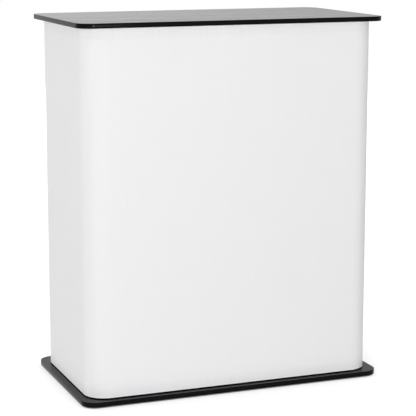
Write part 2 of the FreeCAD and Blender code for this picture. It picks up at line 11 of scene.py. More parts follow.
import bmesh
import bpy
from bpy.props import FloatProperty, FloatVectorProperty, IntProperty, PointerProperty
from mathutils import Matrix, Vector


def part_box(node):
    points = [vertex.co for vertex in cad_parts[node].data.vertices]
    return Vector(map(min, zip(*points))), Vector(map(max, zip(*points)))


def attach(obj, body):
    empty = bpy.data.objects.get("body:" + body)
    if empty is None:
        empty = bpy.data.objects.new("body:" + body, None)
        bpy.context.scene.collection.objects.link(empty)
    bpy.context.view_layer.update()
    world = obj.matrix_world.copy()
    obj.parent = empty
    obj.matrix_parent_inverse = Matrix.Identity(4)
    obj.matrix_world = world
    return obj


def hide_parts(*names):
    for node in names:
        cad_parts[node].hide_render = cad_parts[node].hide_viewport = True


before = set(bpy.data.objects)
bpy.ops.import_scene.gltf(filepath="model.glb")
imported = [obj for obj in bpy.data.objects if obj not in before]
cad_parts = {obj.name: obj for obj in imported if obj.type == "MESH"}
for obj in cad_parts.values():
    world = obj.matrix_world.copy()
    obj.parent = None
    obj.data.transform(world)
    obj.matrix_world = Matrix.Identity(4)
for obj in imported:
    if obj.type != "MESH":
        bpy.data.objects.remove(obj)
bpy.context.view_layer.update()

bl_info = {
    "name": "Trade Show Counter",
    "version": (1, 0, 0),
    "blender": (4, 5, 0),
    "location": "View3D > Sidebar > Counter",
    "description": "Finishes and fine pieces of a portable counter, and a studio for it",
    "category": "Object",
}

# Solids by finish, and the solids that are made again with the bodies they ride on
BOARDS = ("top_board", "base_board", "shelf_board")
PLINTHS = ("top_plinth", "base_plinth")
BANDS = {"top_edge_band": "top", "base_edge_band": "frame", "shelf_edge_band": "frame"}
HOOK_TAPES = ("top_hook_tape", "base_hook_tape")
LOOP_TAPES = ("wrap_upper_loop_tape", "wrap_lower_loop_tape")
TUBES = [f"{level}_post_{side}_{hand}" for level in ("lower", "upper")
         for side in ("front", "rear") for hand in ("left", "right")]
PLUGS = ("lower_post_foot_inserts", "lower_post_head_inserts", "upper_post_foot_inserts",
         "post_pins")
FITTINGS = ("pin_sockets", "post_bolts", "joining_studs")
SCREWS = {"top_plinth_screws": "top", "base_plinth_screws": "frame"}
FEET = ("rubber_feet",)

# The fluted sheet's layers from the outside in, and its map of flute number and height
OUTER_FACE, OUTER_HOLLOW, INNER_HOLLOW, INNER_FACE = range(4)
FLUTE_MAP = "flutes"
Station = namedtuple("Station", "point outward flute solid")

# Where a rib shows, in flutes from the middle of a flute
RIB_FADE = (0.36, 0.5)
# Where the painted shade at the sheet's foot and head stops, in plinth heights from its foot and
# head: partly the dark plinths showing through, partly shade beside the base and under the top's
# overhang
BASE_FADE = (0.7, 1.7)
TOP_FADE = (1.1, 1.7)
# Where the painted highlight on a cut edge stops, in metres from the edge
EDGE_HIGHLIGHT_FADE = (0.002, 0.005)

# Lamps and their bearings in degrees from +X. Softboxes light the counter, and gloss lamps only
# show as glints on it.
SOFTBOX_BEARINGS = {"key": -120, "left": 130, "right": -20, "rear": 80}
GLOSS_BEARINGS = {"strip": -84, "gleam": -79}
# How far towards +X the surround in the gloss starts to dim, and is dimmest
DIM_SIDE = (0.22, 0.50)
# How much of the view up is open where the floor's glow is least, and where it is full; between
# them the floor carries a painted shadow
GAP_OPEN = (0, 0.5)
SHADOW_OPEN = (0.5, 1)

ARRIS_STEPS = 4
SCREW_SIDES = 24
RECESS_TAPER = 1.5
TOUCHING = 1e-6
SHARP_ANGLE = math.radians(35)
QUARTER_TURN = math.pi / 2
FULL_TURN = 2 * math.pi
UP = Vector((0, 0, 1))

# Sockets of a Mix node that mixes colours
MIX_FACTOR, MIX_A, MIX_B, MIX_RESULT = 0, 6, 7, 2


# Sizes and colours
def length(name, default, description):
    """A size that a user may change."""
    return FloatProperty(name=name, description=description, default=default, min=0,
                         unit="LENGTH", precision=4)


def face_count(name, default, description):
    """How many faces make up a curve."""
    return IntProperty(name=name, description=description, default=default, min=2)


def share(name, default, description):
    """A number from nought to one."""
    return FloatProperty(name=name, description=description, default=default, min=0, max=1,
                         subtype="FACTOR")


def colour(name, default, description):
    """A colour in linear light."""
    return FloatVectorProperty(name=name, description=description, default=default, min=0, max=1,
                               size=3, subtype="COLOR")


def power(name, default, description):
    """A lamp's strength in watts."""
    return FloatProperty(name=name, description=description, default=default, min=0, unit="POWER")


def place(name, default, description):
    """A point in the counter's frame."""
    return FloatVectorProperty(name=name, description=description, default=default, size=3,
                               subtype="TRANSLATION", unit="LENGTH")


class BoardSettings(bpy.types.PropertyGroup):
    """Boards, plinths and the bands round the boards."""

    corner_radius: length("Corner Radius", 0.036, "Corners of the top and base boards")
    shelf_corner_radius: length("Shelf Corner Radius", 0.0483, "Corners of the shelf")
    band_thickness: length("Band Thickness", 0.001, "Strip glued round each board")
    arris_radius: length("Arris Radius", 0.0007, "Rounding of the band's upper and lower edges")
    corner_steps: face_count("Corner Steps", 20, "Faces round each corner of a band")
    laminate: colour("Laminate", (0.008, 0.008, 0.008), "Satin black face of the boards")
    laminate_worn: colour("Laminate Grain", (0.016, 0.016, 0.016), "Paler grain in the laminate")
    laminate_roughness: share("Laminate Roughness", 0.168, "Gloss of the boards' faces")
    band: colour("Edge Band", (0.0015, 0.0015, 0.0015), "Glossy black band")
    fibreboard: colour("Fibreboard", (0.014, 0.014, 0.015), "Painted plinths")
    fibre: colour("Fibre", (0.035, 0.033, 0.031), "Fibres that show through the paint")


class WrapSettings(bpy.types.PropertyGroup):
    """The fluted sheet and the tapes that hold it."""

    corner_radius: length("Corner Radius", 0.055, "Outer corners of the sheet")
    rear_opening: length("Rear Opening", 0.514, "Width left open at the rear")
    thickness: length("Thickness", 0.004, "Sheet over both skins")
    skin: length("Skin", 0.0006, "Each skin of the sheet")
    rib: length("Rib", 0.0006, "Ribs between the skins")
    flute_pitch: length("Flute Pitch", 0.008, "From rib to rib")
    skin_sag: length("Skin Sag", 0.00006, "How far a skin sinks between two ribs")
    flute_steps: face_count("Flute Steps", 4, "Faces across one flute")
    sheet: colour("Sheet", (0.85, 0.85, 0.845), "White plastic")
    # Painted shade at the sheet's foot and head: partly the dark plinths showing through, partly
    # shade beside the base and under the top's overhang
    shaded: colour("Shaded Sheet", (0.785, 0.785, 0.845), "Where a dark plinth shows through")
    base_painted_shade: share("Base Shows", 0.30, "How far the base's plinth shows through")
    top_painted_shade: share("Top Shows", 0.26, "How far the top's plinth shows through")
    # Painted highlight along the sheet's cut ends
    cut_edge_highlight: colour("Cut Edge", (0.90, 0.90, 0.90), "The sheet's cut ends, lit from within")
    hook: colour("Hook Tape", (0.012, 0.012, 0.013), "Black hook tape")
    loop: colour("Loop Tape", (0.74, 0.74, 0.72), "White loop tape")


class HardwareSettings(bpy.types.PropertyGroup):
    """Posts, plugs, fasteners and feet."""

    aluminium: colour("Aluminium", (0.78, 0.79, 0.80), "Satin anodised tubes")
    nylon: colour("Nylon", (0.018, 0.018, 0.019), "Moulded plugs and pins")
    zinc: colour("Zinc", (0.62, 0.61, 0.58), "Plated steel")
    zinc_tint: colour("Zinc Tint", (0.55, 0.57, 0.62), "Bluish clouds in the plating")
    rubber: colour("Rubber", (0.018, 0.018, 0.018), "Feet")
    head_diameter: length("Screw Head", 0.008, "Countersunk head")
    shank_diameter: length("Screw Shank", 0.004, "Screw below its head")
    recess_width: length("Recess Width", 0.0046, "Cross recess, tip to tip")
    recess_slot: length("Recess Slot", 0.0012, "Each arm of the cross")
    recess_depth: length("Recess Depth", 0.0016, "Depth of the cross")


class StageSettings(bpy.types.PropertyGroup):
    """Camera, lamps and floor."""

    camera: place("Camera", (-1.423, -3.656, 1.175), "Where the camera stands")
    target: place("Target", (-0.028, -0.087, 0.452), "What it looks at")
    lens: FloatProperty(name="Lens", description="Focal length in millimetres", default=132.7,
                        min=1, unit="CAMERA")
    lamp_distance: length("Lamp Distance", 7.0, "From the counter to each lamp")
    lamp_height: length("Softbox Height", 1.4, "Middle of each softbox above the floor")
    lamp_width: length("Softbox Width", 2.1, "Its lit face, side to side")
    lamp_tall: length("Softbox Face Height", 1.1, "Its lit face, foot to head")
    key_power: power("Key Power", 311, "Softbox at the front left")
    left_power: power("Left Power", 172, "Softbox at the rear left")
    right_power: power("Right Power", 115, "Softbox at the right")
    rear_power: power("Rear Power", 200, "Softbox behind the counter")
    gloss_height: length("Gloss Lamp Height", 0.48, "Middle of each gloss lamp above the floor")
    gloss_tall: length("Gloss Lamp Face Height", 0.8, "Its lit face, which ends below the top")
    strip_width: length("Strip Width", 0.5, "Bright gloss lamp at the front")
    strip_power: power("Strip Power", 80, "Bright gloss lamp at the front")
    gleam_width: length("Gleam Width", 0.65, "Dim gloss lamp beside the bright one")
    gleam_power: power("Gleam Power", 7.3, "Dim gloss lamp beside the bright one")
    sky: share("Sky", 0.24, "Soft light from all round")
    gloss_dim: share("Gloss Dim", 0.2, "How much dimmer the gloss shows the surround's right")
    floor_size: length("Floor Size", 24.0, "Side of the floor")
    floor: colour("Floor", (0.82, 0.82, 0.82), "Pale floor")
    floor_shadow: share("Floor Shadow", 0.5, "How far a lamp's shadow can darken the floor")
    # The floor's gap and soft shadow are painted shadow, from how close pieces stand above it
    floor_gap: length("Floor Gap", 0.02, "How low over the floor a piece blackens it")
    floor_reach: length("Shadow Reach", 0.4, "How far the soft shadow spreads from the counter")
    floor_dim: share("Floor Dim", 0.74, "How much of its glow the floor keeps in the soft shadow")


# Shader nodes
class Shade:
    """An output of a shader node. Arithmetic on it adds Math nodes."""

    def __init__(self, nodes, socket):
        self.nodes = nodes
        self.socket = socket

    def other(self, output):
        """Another output of the same node."""
        return Shade(self.nodes, self.socket.node.outputs[output])

    def between(self, low, high):
        """Rises smoothly from nought at low to one at high."""
        return self.nodes.node("ShaderNodeMapRange", {"interpolation_type": "SMOOTHSTEP"},
                               {"Value": self, "From Min": low, "From Max": high})

    def swing(self, amount):
        """Noise, whose middle is a half, as a change up and down by half the amount."""
        return (self - 0.5) * amount

    def __add__(self, value):
        return self.nodes.math("ADD", self, value)

    def __sub__(self, value):
        return self.nodes.math("SUBTRACT", self, value)

    def __rsub__(self, value):
        return self.nodes.math("SUBTRACT", value, self)

    def __mul__(self, value):
        return self.nodes.math("MULTIPLY", self, value)

    def __abs__(self):
        return self.nodes.math("ABSOLUTE", self)

    __radd__ = __add__
    __rmul__ = __mul__


class Nodes:
    """A node tree being built."""

    def __init__(self, tree):
        self.tree = tree
        tree.nodes.clear()

    def node(self, kind, settings=None, inputs=None, output=0):
        """Adds a node. Its settings come first, then the values or links of its sockets."""
        node = self.tree.nodes.new(kind)
        for name, value in (settings or {}).items():
            setattr(node, name, value)
        for name, value in (inputs or {}).items():
            if isinstance(value, Shade):
                self.tree.links.new(value.socket, node.inputs[name])
            else:
                node.inputs[name].default_value = value
        return Shade(self, node.outputs[output]) if node.outputs else None

    def math(self, operation, *values):
        """A sum on numbers and outputs."""
        return self.node("ShaderNodeMath", {"operation": operation}, dict(enumerate(values)))

    def where(self):
        """The place on the piece, in metres."""
        return self.node("ShaderNodeTexCoord", output="Object")

    def noise(self, vector, size, detail=2.0):
        """Cloudy noise whose features are about the given size."""
        return self.node("ShaderNodeTexNoise", None,
                         {"Vector": vector, "Scale": 1 / size, "Detail": detail})

    def stretched_noise(self, vector, per_metre, detail=2.0):
        """Streaky noise with about the given numbers of features per metre along X, Y and Z."""
        stretched = self.node("ShaderNodeVectorMath", {"operation": "MULTIPLY"},
                              {0: vector, 1: per_metre})
        return self.noise(stretched, 1.0, detail)

    def cells(self, vector, size):
        """The distance to the nearest of scattered points, about the given size apart."""
        return self.node("ShaderNodeTexVoronoi", None, {"Vector": vector, "Scale": 1 / size},
                         "Distance")

    def mix(self, factor, first, second):
        """A colour between two colours."""
        return self.node("ShaderNodeMix", {"data_type": "RGBA"},
                         {MIX_FACTOR: factor, MIX_A: first, MIX_B: second}, MIX_RESULT)

    def bump(self, height, depth, strength=1.0):
        """A surface normal for a height that spans the given depth in metres."""
        return self.node("ShaderNodeBump", None,
                         {"Height": height, "Distance": depth, "Strength": strength})


class Finish(Nodes):
    """A material being built."""

    def __init__(self, name):
        self.material = bpy.data.materials.new(name)
        self.material.use_nodes = True
        super().__init__(self.material.node_tree)

    def surface(self, inputs):
        """Ends the material with its main shader."""
        shader = self.node("ShaderNodeBsdfPrincipled", None, inputs)
        self.node("ShaderNodeOutputMaterial", None, {"Surface": shader})
        return self.material


def rgba(rgb, scale=1.0):
    """A colour as a shader socket takes it, paler or darker by a factor."""
    return (*(scale * part for part in rgb), 1.0)


def grey(level):
    """A grey as a shader socket takes it."""
    return rgba((level, level, level))


# Finishes
def laminate(settings):
    """Satin black laminate with a fine pebbled grain, long faint streaks and handling marks."""
    finish = Finish("black_laminate")
    where = finish.where()
    pebbles = finish.cells(where, size=0.0011)
    streaks = finish.stretched_noise(where, per_metre=(1.6, 16.0, 16.0), detail=3.0)
    marks = finish.noise(where, size=0.04, detail=4.0)
    return finish.surface({
        "Base Color": finish.mix(pebbles * marks, rgba(settings.laminate),
                                 rgba(settings.laminate_worn)),
        "Roughness": (settings.laminate_roughness + streaks.swing(0.06) + marks.swing(0.04)
                      + pebbles.swing(0.06)),
        "Normal": finish.bump(pebbles, depth=0.00003, strength=0.4),
        "Specular IOR Level": 0.075,
    })


def edge_band(settings):
    """Glossy black edge band with faint lines along it and a slight waviness."""
    finish = Finish("black_edge_band")
    where = finish.where()
    lines = finish.stretched_noise(where, per_metre=(12.0, 12.0, 900.0))
    waves = finish.noise(where, size=0.03)
    return finish.surface({
        "Base Color": finish.mix(lines, rgba(settings.band), rgba(settings.band, 3)),
        "Roughness": 0.05 + lines * 0.07,
        "Normal": finish.bump(waves, depth=0.0001),
        "Specular IOR Level": 0.065,
    })


def fibreboard(settings):
    """Matt black paint on fibreboard, with a few paler fibres."""
    finish = Finish("black_fibreboard")
    where = finish.where()
    fibres = finish.stretched_noise(where, per_metre=(140.0, 900.0, 900.0), detail=3.0)
    clouds = finish.noise(where, size=0.03)
    bare = fibres.between(0.55, 0.75) * clouds
    return finish.surface({
        "Base Color": finish.mix(bare, rgba(settings.fibreboard), rgba(settings.fibre)),
        "Roughness": 0.66 + fibres * 0.2,
        "Normal": finish.bump(fibres, depth=0.00008, strength=0.6),
    })


def fluted_sheet(settings, sheet_height, plinth_height):
    """Satin white twin-wall plastic with faint ribs, a painted highlight on its cut ends and
    painted shade at its foot and head.
    """
    finish = Finish("white_fluted_sheet")
    flutes = finish.node("ShaderNodeUVMap", {"uv_map": FLUTE_MAP})
    across = finish.node("ShaderNodeSeparateXYZ", None, {"Vector": flutes}, "X")
    up = across.other("Y")
    down = sheet_height - up
    rib = abs(finish.math("FRACT", across) - 0.5).between(*RIB_FADE)
    tone = finish.node("ShaderNodeTexWhiteNoise", {"noise_dimensions": "1D"},
                       {"W": finish.math("FLOOR", across)})
    over_base = 1 - up.between(*(plinth_height * reach for reach in BASE_FADE))
    under_top = 1 - down.between(*(plinth_height * reach for reach in TOP_FADE))
    # Painted highlight on the sheet's cut ends, where their edges catch the light
    rim = 1 - finish.math("MINIMUM", up, down).between(*EDGE_HIGHLIGHT_FADE)
    clouds = finish.noise(finish.where(), size=0.12)
    grain = finish.noise(finish.where(), size=0.0014)
    # Painted shade at the foot and head: partly the plinths showing through, partly shade beside
    # the base and under the top's overhang. Ribs hide it, and no two flutes show it alike
    behind = over_base * settings.base_painted_shade + under_top * settings.top_painted_shade
    through = behind * (1.2 - rib) * (0.7 + tone * 0.6)
    dark = through + tone * 0.05 + rib * 0.05 + clouds * 0.04
    body = finish.mix(dark, rgba(settings.sheet), rgba(settings.shaded))
    return finish.surface({
        "Base Color": finish.mix(rim, body, rgba(settings.cut_edge_highlight)),
        "Roughness": 0.55 + clouds * 0.1,
        "Normal": finish.bump(grain + rib, depth=0.00002),
        "Specular IOR Level": 0.3,
    })


def hook_tape(settings):
    """Black hook tape: rows of stiff hooks on a woven back."""
    finish = Finish("black_tape")
    hooks = finish.cells(finish.where(), size=0.0016)
    return finish.surface({
        "Base Color": finish.mix(hooks, rgba(settings.hook, 2.5), rgba(settings.hook)),
        "Roughness": 0.5 + hooks * 0.3,
        "Normal": finish.bump(1 - hooks, depth=0.0008),
    })


def loop_tape(settings):
    """White loop tape: a soft tangled pile."""
    finish = Finish("white_tape")
    where = finish.where()
    pile = finish.noise(where, size=0.0009, detail=4.0)
    clumps = finish.noise(where, size=0.006)
    return finish.surface({
        "Base Color": finish.mix(pile * clumps, rgba(settings.loop), rgba(settings.loop, 0.6)),
        "Roughness": 0.8 + pile * 0.2,
        "Normal": finish.bump(pile, depth=0.0007),
        "Sheen Weight": 0.4,
    })


def aluminium(settings):
    """Satin anodised tube with fine drawing lines along it."""
    finish = Finish("post_aluminium")
    where = finish.where()
    lines = finish.stretched_noise(where, per_metre=(1400.0, 1400.0, 4.0), detail=3.0)
    clouds = finish.noise(where, size=0.06)
    return finish.surface({
        "Base Color": finish.mix(lines * clouds, rgba(settings.aluminium),
                                 rgba(settings.aluminium, 0.82)),
        "Metallic": 1.0,
        "Roughness": 0.26 + lines * 0.16 + clouds * 0.06,
        "Normal": finish.bump(lines, depth=0.00002),
    })


def nylon(settings):
    """Moulded black nylon with a fine spark-eroded grain."""
    finish = Finish("black_nylon")
    where = finish.where()
    grain = finish.noise(where, size=0.0006)
    clouds = finish.noise(where, size=0.01)
    return finish.surface({
        "Base Color": finish.mix(clouds, rgba(settings.nylon), rgba(settings.nylon, 2)),
        "Roughness": 0.42 + grain * 0.16,
        "Normal": finish.bump(grain, depth=0.00005),
    })


def zinc_steel(settings):
    """Bright zinc plating with cloudy bluish patches and fine scratches."""
    finish = Finish("zinc_steel")
    where = finish.where()
    clouds = finish.noise(where, size=0.004, detail=3.0)
    scratches = finish.stretched_noise(where, per_metre=(300.0, 2600.0, 900.0))
    return finish.surface({
        "Base Color": finish.mix(clouds, rgba(settings.zinc), rgba(settings.zinc_tint)),
        "Metallic": 1.0,
        "Roughness": 0.24 + clouds * 0.2 + scratches * 0.1,
        "Normal": finish.bump(scratches, depth=0.00001),
    })


def rubber(settings):
    """Matt black rubber with a dusty bloom."""
    finish = Finish("black_rubber")
    where = finish.where()
    grain = finish.noise(where, size=0.0008)
    bloom = finish.noise(where, size=0.008, detail=4.0)
    return finish.surface({
        "Base Color": finish.mix(bloom * bloom, rgba(settings.rubber), rgba(settings.rubber, 3)),
        "Roughness": 0.75 + grain * 0.2,
        "Normal": finish.bump(grain, depth=0.0001),
    })


# Pieces
def dress(names, material):
    """Gives solids their finish."""
    for name in names:
        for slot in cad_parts[name].material_slots:
            slot.material = material


def add_object(name, shape, material):
    """Turns a finished bmesh into an object in the scene."""
    mesh = bpy.data.meshes.new(name)
    shape.to_mesh(mesh)
    shape.free()
    mesh.materials.append(material)
    thing = bpy.data.objects.new(name, mesh)
    bpy.context.scene.collection.objects.link(thing)
    return thing


def add_piece(name, shape, material, body, node):
    """Turns a finished bmesh into a piece that stands for a solid and rides with its body."""
    bmesh.ops.recalc_face_normals(shape, faces=shape.faces)
    for edge in shape.edges:
        edge.smooth = edge.calc_face_angle(0) < SHARP_ANGLE
    for face in shape.faces:
        face.smooth = True
    piece = add_object(name, shape, material)
    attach(piece, body)
    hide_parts(node)


def heading(angle):
    """The flat direction at an angle from +X."""
    return Vector((math.cos(angle), math.sin(angle), 0))


def rounded_outline(half_width, half_depth, radius, steps):
    """Points anticlockwise round a rectangle with rounded corners, each with its way out."""
    outline = []
    for quarter, (side_x, side_y) in enumerate([(1, 1), (-1, 1), (-1, -1), (1, -1)]):
        centre = Vector((side_x * (half_width - radius), side_y * (half_depth - radius), 0))
        for step in range(steps + 1):
            outward = heading((quarter + step / steps) * QUARTER_TURN)
            outline.append((centre + outward * radius, outward))
    return outline


def band_profile(low, high, thickness, arris):
    """A band's cross-section as depth from its outer face and height, with rounded outer edges."""
    turns = [step / ARRIS_STEPS * QUARTER_TURN for step in range(ARRIS_STEPS + 1)]
    lower = [(arris * (1 - math.sin(turn)), low + arris * (1 - math.cos(turn))) for turn in turns]
    upper = [(arris * (1 - math.cos(turn)), high - arris * (1 - math.sin(turn))) for turn in turns]
    return [(thickness, low), *lower, *upper, (thickness, high)]


def make_band(name, body, radius, settings, material):
    """The strip round one board."""
    low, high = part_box(name)
    outline = rounded_outline(high.x, high.y, radius, settings.corner_steps)
    profile = band_profile(low.z, high.z, settings.band_thickness, settings.arris_radius)
    shape = bmesh.new()
    rings = []
    for point, outward in outline:
        rings.append([shape.verts.new(point - outward * depth + UP * height)
                      for depth, height in profile])
    for here, after in zip(rings, rings[1:] + rings[:1]):
        for i in range(len(profile)):
            shape.faces.new((here[i - 1], after[i - 1], after[i], here[i]))
    add_piece(f"{name}_rounded", shape, material, body, name)


def straight_run(start, end, outward):
    """A straight run of the sheet: its length, and the point and way out at a share of it."""
    return (end - start).length, lambda part: (start.lerp(end, part), outward)


def corner_run(centre, radius, thickness, start):
    """The same for a corner, whose length is taken midway between the skins."""
    def at(part):
        outward = heading(start - part * QUARTER_TURN)
        return centre + outward * radius, outward
    return (radius - thickness / 2) * QUARTER_TURN, at


def wrap_runs(half_width, half_depth, radius, thickness, opening):
    """The sheet's straight runs and corners, from its right rear end round to its left one."""
    runs = []
    last = Vector((opening / 2, half_depth, 0))
    for step, (side_x, side_y) in enumerate([(1, 1), (1, -1), (-1, -1), (-1, 1)]):
        centre = Vector((side_x * (half_width - radius), side_y * (half_depth - radius), 0))
        start = (1 - step) * QUARTER_TURN
        runs.append(straight_run(last, centre + heading(start) * radius, heading(start)))
        runs.append(corner_run(centre, radius, thickness, start))
        last = centre + heading(start - QUARTER_TURN) * radius
    runs.append(straight_run(last, Vector((-opening / 2, half_depth, 0)), Vector((0, 1, 0))))
    return runs


def wrap_stations(runs, settings):
    """Every line along the sheet where its section changes.

    Each is a point on the outer face, the way out, the flute number there, and whether the stretch
    that follows is solid from skin to skin.
    """
    stations = []
    flute = 0
    for run_length, at in runs:
        count = max(1, round(run_length / settings.flute_pitch))
        half_rib = settings.rib / 2 / (run_length / count)
        hollow = [half_rib + (1 - 2 * half_rib) * step / settings.flute_steps
                  for step in range(settings.flute_steps + 1)]
        for i in range(count):
            for part in (0.0, *hollow):
                solid = part in (0.0, hollow[-1])
                stations.append(Station(*at((i + part) / count), flute + part, solid))
            flute += 1
    _, at = runs[-1]
    stations.append(Station(*at(1.0), flute, True))
    return stations


def make_wrap(settings, material):
    """The fluted sheet: two skins that sink a little between ribs, with open flutes inside."""
    low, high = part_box("wrap_panel")
    runs = wrap_runs(high.x, high.y, settings.corner_radius, settings.thickness,
                     settings.rear_opening)
    stations = wrap_stations(runs, settings)
    shape = bmesh.new()
    flutes = shape.loops.layers.uv.new(FLUTE_MAP)
    columns = []
    for point, outward, flute, _ in stations:
        sag = settings.skin_sag * math.sin(math.pi * flute) ** 2
        depths = (sag, settings.skin, settings.thickness - settings.skin, settings.thickness - sag)
        columns.append([[shape.verts.new(point - outward * depth + UP * height)
                         for height in (low.z, high.z)] for depth in depths])

    def add_face(*corners):
        """One face. Each corner is a station, a layer, and 0 at the foot or 1 at the head."""
        face = shape.faces.new([columns[at][layer][end] for at, layer, end in corners])
        for loop, (at, _, _) in zip(face.loops, corners):
            loop[flutes].uv = (stations[at].flute, loop.vert.co.z - low.z)

    def add_wall(near, far, layer):
        """An upright wall along the sheet, on one of its layers."""
        add_face((near, layer, 0), (far, layer, 0), (far, layer, 1), (near, layer, 1))

    def add_caps(near, far, layer):
        """The sheet's cut ends, below and above, from one layer to the next."""
        for end in (0, 1):
            add_face((near, layer, end), (far, layer, end),
                     (far, layer + 1, end), (near, layer + 1, end))

    def add_cross_wall(at, layer):
        """An upright wall across the sheet: the side of a rib, or the sheet's own end."""
        add_face((at, layer, 0), (at, layer + 1, 0), (at, layer + 1, 1), (at, layer, 1))

    last = len(stations) - 1
    for near in range(last):
        far = near + 1
        add_wall(near, far, OUTER_FACE)
        add_wall(near, far, INNER_FACE)
        add_caps(near, far, OUTER_FACE)
        add_caps(near, far, INNER_HOLLOW)
        if stations[near].solid:
            add_caps(near, far, OUTER_HOLLOW)
        else:
            add_wall(near, far, OUTER_HOLLOW)
            add_wall(near, far, INNER_HOLLOW)
        if near and stations[near].solid != stations[near - 1].solid:
            add_cross_wall(near, OUTER_HOLLOW)
    for end in (0, last):
        for layer in (OUTER_FACE, OUTER_HOLLOW, INNER_HOLLOW):
            add_cross_wall(end, layer)
    add_piece("wrap_panel_fluted", shape, material, "frame", "wrap_panel")


def screw_places(name):
    """The middles of the screws in a group, found from the loose parts of its solid's mesh."""
    shape = bmesh.new()
    shape.from_mesh(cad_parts[name].data)
    bmesh.ops.remove_doubles(shape, verts=shape.verts, dist=TOUCHING)
    left = set(shape.verts)
    places = []
    while left:
        part, frontier = set(), [left.pop()]
        while frontier:
            vert = frontier.pop()
            part.add(vert)
            near = {edge.other_vert(vert) for edge in vert.link_edges} & left
            left -= near
            frontier.extend(near)
        xs = [vert.co.x for vert in part]
        ys = [vert.co.y for vert in part]
        places.append(Vector(((min(xs) + max(xs)) / 2, (min(ys) + max(ys)) / 2, 0)))
    shape.free()
    return sorted(places, key=tuple)


def add_ring(shape, centre, radius, height):
    """A ring of points round an upright axis."""
    return [shape.verts.new(centre + heading(i / SCREW_SIDES * FULL_TURN) * radius + UP * height)
            for i in range(SCREW_SIDES)]


def add_cross(shape, centre, reach, slot, height):
    """The twelve corners of a cross recess."""
    corners = []
    for quarter in range(4):
        ahead = heading(quarter * QUARTER_TURN)
        aside = heading((quarter + 1) * QUARTER_TURN)
        for out, over in ((reach, -slot), (reach, slot), (slot, slot)):
            corners.append(shape.verts.new(centre + ahead * out + aside * over + UP * height))
    return corners


def join_rings(shape, lower, upper):
    """The wall between two rings of points."""
    for i in range(len(lower)):
        shape.faces.new((lower[i - 1], lower[i], upper[i], upper[i - 1]))


def make_screws(name, body, settings, material):
    """A group of countersunk screws, heads down, each with a cross recess."""
    low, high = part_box(name)
    head, shank = settings.head_diameter / 2, settings.shank_diameter / 2
    reach, slot = settings.recess_width / 2, settings.recess_slot / 2
    shape = bmesh.new()
    for centre in screw_places(name):
        rim = add_ring(shape, centre, head, low.z)
        neck = add_ring(shape, centre, shank, low.z + head - shank)
        tip = add_ring(shape, centre, shank, high.z)
        mouth = add_cross(shape, centre, reach, slot, low.z)
        bottom = add_cross(shape, centre, reach / RECESS_TAPER, slot / RECESS_TAPER,
                           low.z + settings.recess_depth)
        face_edges = []
        for ring in (rim, mouth):
            face_edges.extend(shape.edges.new((ring[i - 1], ring[i])) for i in range(len(ring)))
        bmesh.ops.triangle_fill(shape, edges=face_edges, use_beauty=True)
        join_rings(shape, rim, neck)
        join_rings(shape, neck, tip)
        join_rings(shape, mouth, bottom)
        shape.faces.new(tip)
        shape.faces.new(bottom)
    add_piece(f"{name}_cross_head", shape, material, body, name)


# Stage
def seen(nodes):
    """One for rays from the camera, in reflections and through clear materials, or else nought."""
    camera = nodes.node("ShaderNodeLightPath", output="Is Camera Ray")
    rays = camera + camera.other("Is Glossy Ray") + camera.other("Is Transmission Ray")
    return nodes.math("MINIMUM", rays, 1.0)


def light_world(scene, settings):
    """A surround that looks white and gives soft light. In the gloss it is dimmer at the right."""
    scene.world = bpy.data.worlds.new("studio")
    scene.world.use_nodes = True
    nodes = Nodes(scene.world.node_tree)
    shown = seen(nodes)
    camera = nodes.node("ShaderNodeLightPath", output="Is Camera Ray")
    direction = nodes.node("ShaderNodeTexCoord", output="Generated")
    right = nodes.node("ShaderNodeSeparateXYZ", None, {"Vector": direction}, "X")
    mirrored = 1 - (1 - camera) * right.between(*DIM_SIDE) * settings.gloss_dim
    background = nodes.node("ShaderNodeBackground", None, {
        "Color": grey(1),
        "Strength": shown * mirrored + (1 - shown) * settings.sky,
    })
    nodes.node("ShaderNodeOutputWorld", None, {"Surface": background})


def open_above(finish, reach):
    """How much of the view up from the floor is free of anything nearer than reach."""
    return finish.node("ShaderNodeAmbientOcclusion", None, {"Distance": reach}, "AO")


def lay_floor(settings):
    """A wide pale floor that reads as white, with painted shadow under and round the counter
    besides the lamps' own shadows.
    """
    finish = Finish("floor")
    plain = finish.node("ShaderNodeBsdfDiffuse", None, {"Color": rgba(settings.floor)})
    shaded = finish.node("ShaderNodeBsdfDiffuse", None, {"Color": grey(settings.floor_shadow)})
    # Painted shadow: the floor's glow goes black right under pieces and dims softly round the
    # counter
    gap = open_above(finish, settings.floor_gap).between(*GAP_OPEN)
    clear = open_above(finish, settings.floor_reach).between(*SHADOW_OPEN)
    open_floor = finish.mix(clear, grey(settings.floor_dim), grey(1))
    glow = finish.node("ShaderNodeEmission", None, {
        "Color": finish.mix(gap, grey(0), open_floor),
        "Strength": 1 - settings.floor_shadow * settings.sky,
    })
    white = finish.node("ShaderNodeAddShader", None, {0: shaded, 1: glow})
    mixed = finish.node("ShaderNodeMixShader", None, {0: seen(finish), 1: plain, 2: white})
    finish.node("ShaderNodeOutputMaterial", None, {"Surface": mixed})
    shape = bmesh.new()
    bmesh.ops.create_grid(shape, x_segments=1, y_segments=1, size=settings.floor_size / 2)
    floor = add_object("floor", shape, finish.material)


def aim(thing, target):
    """Turns a lamp or a camera towards a point."""
    thing.rotation_mode = "QUATERNION"
    thing.rotation_quaternion = (Vector(target) - thing.location).to_track_quat("-Z", "Y")


def stand_lamp(scene, name, bearing, size, height, settings):
    """An upright lamp of a given size and height above the floor, facing the counter's axis."""
    light = bpy.data.lights.new(name, "AREA")
    light.shape = "RECTANGLE"
    light.size, light.size_y = size
    light.energy = getattr(settings, f"{name}_power")
    lamp = bpy.data.objects.new(name, light)
    scene.collection.objects.link(lamp)
    lamp.location = heading(math.radians(bearing)) * settings.lamp_distance + UP * height
    aim(lamp, UP * height)
    return lamp


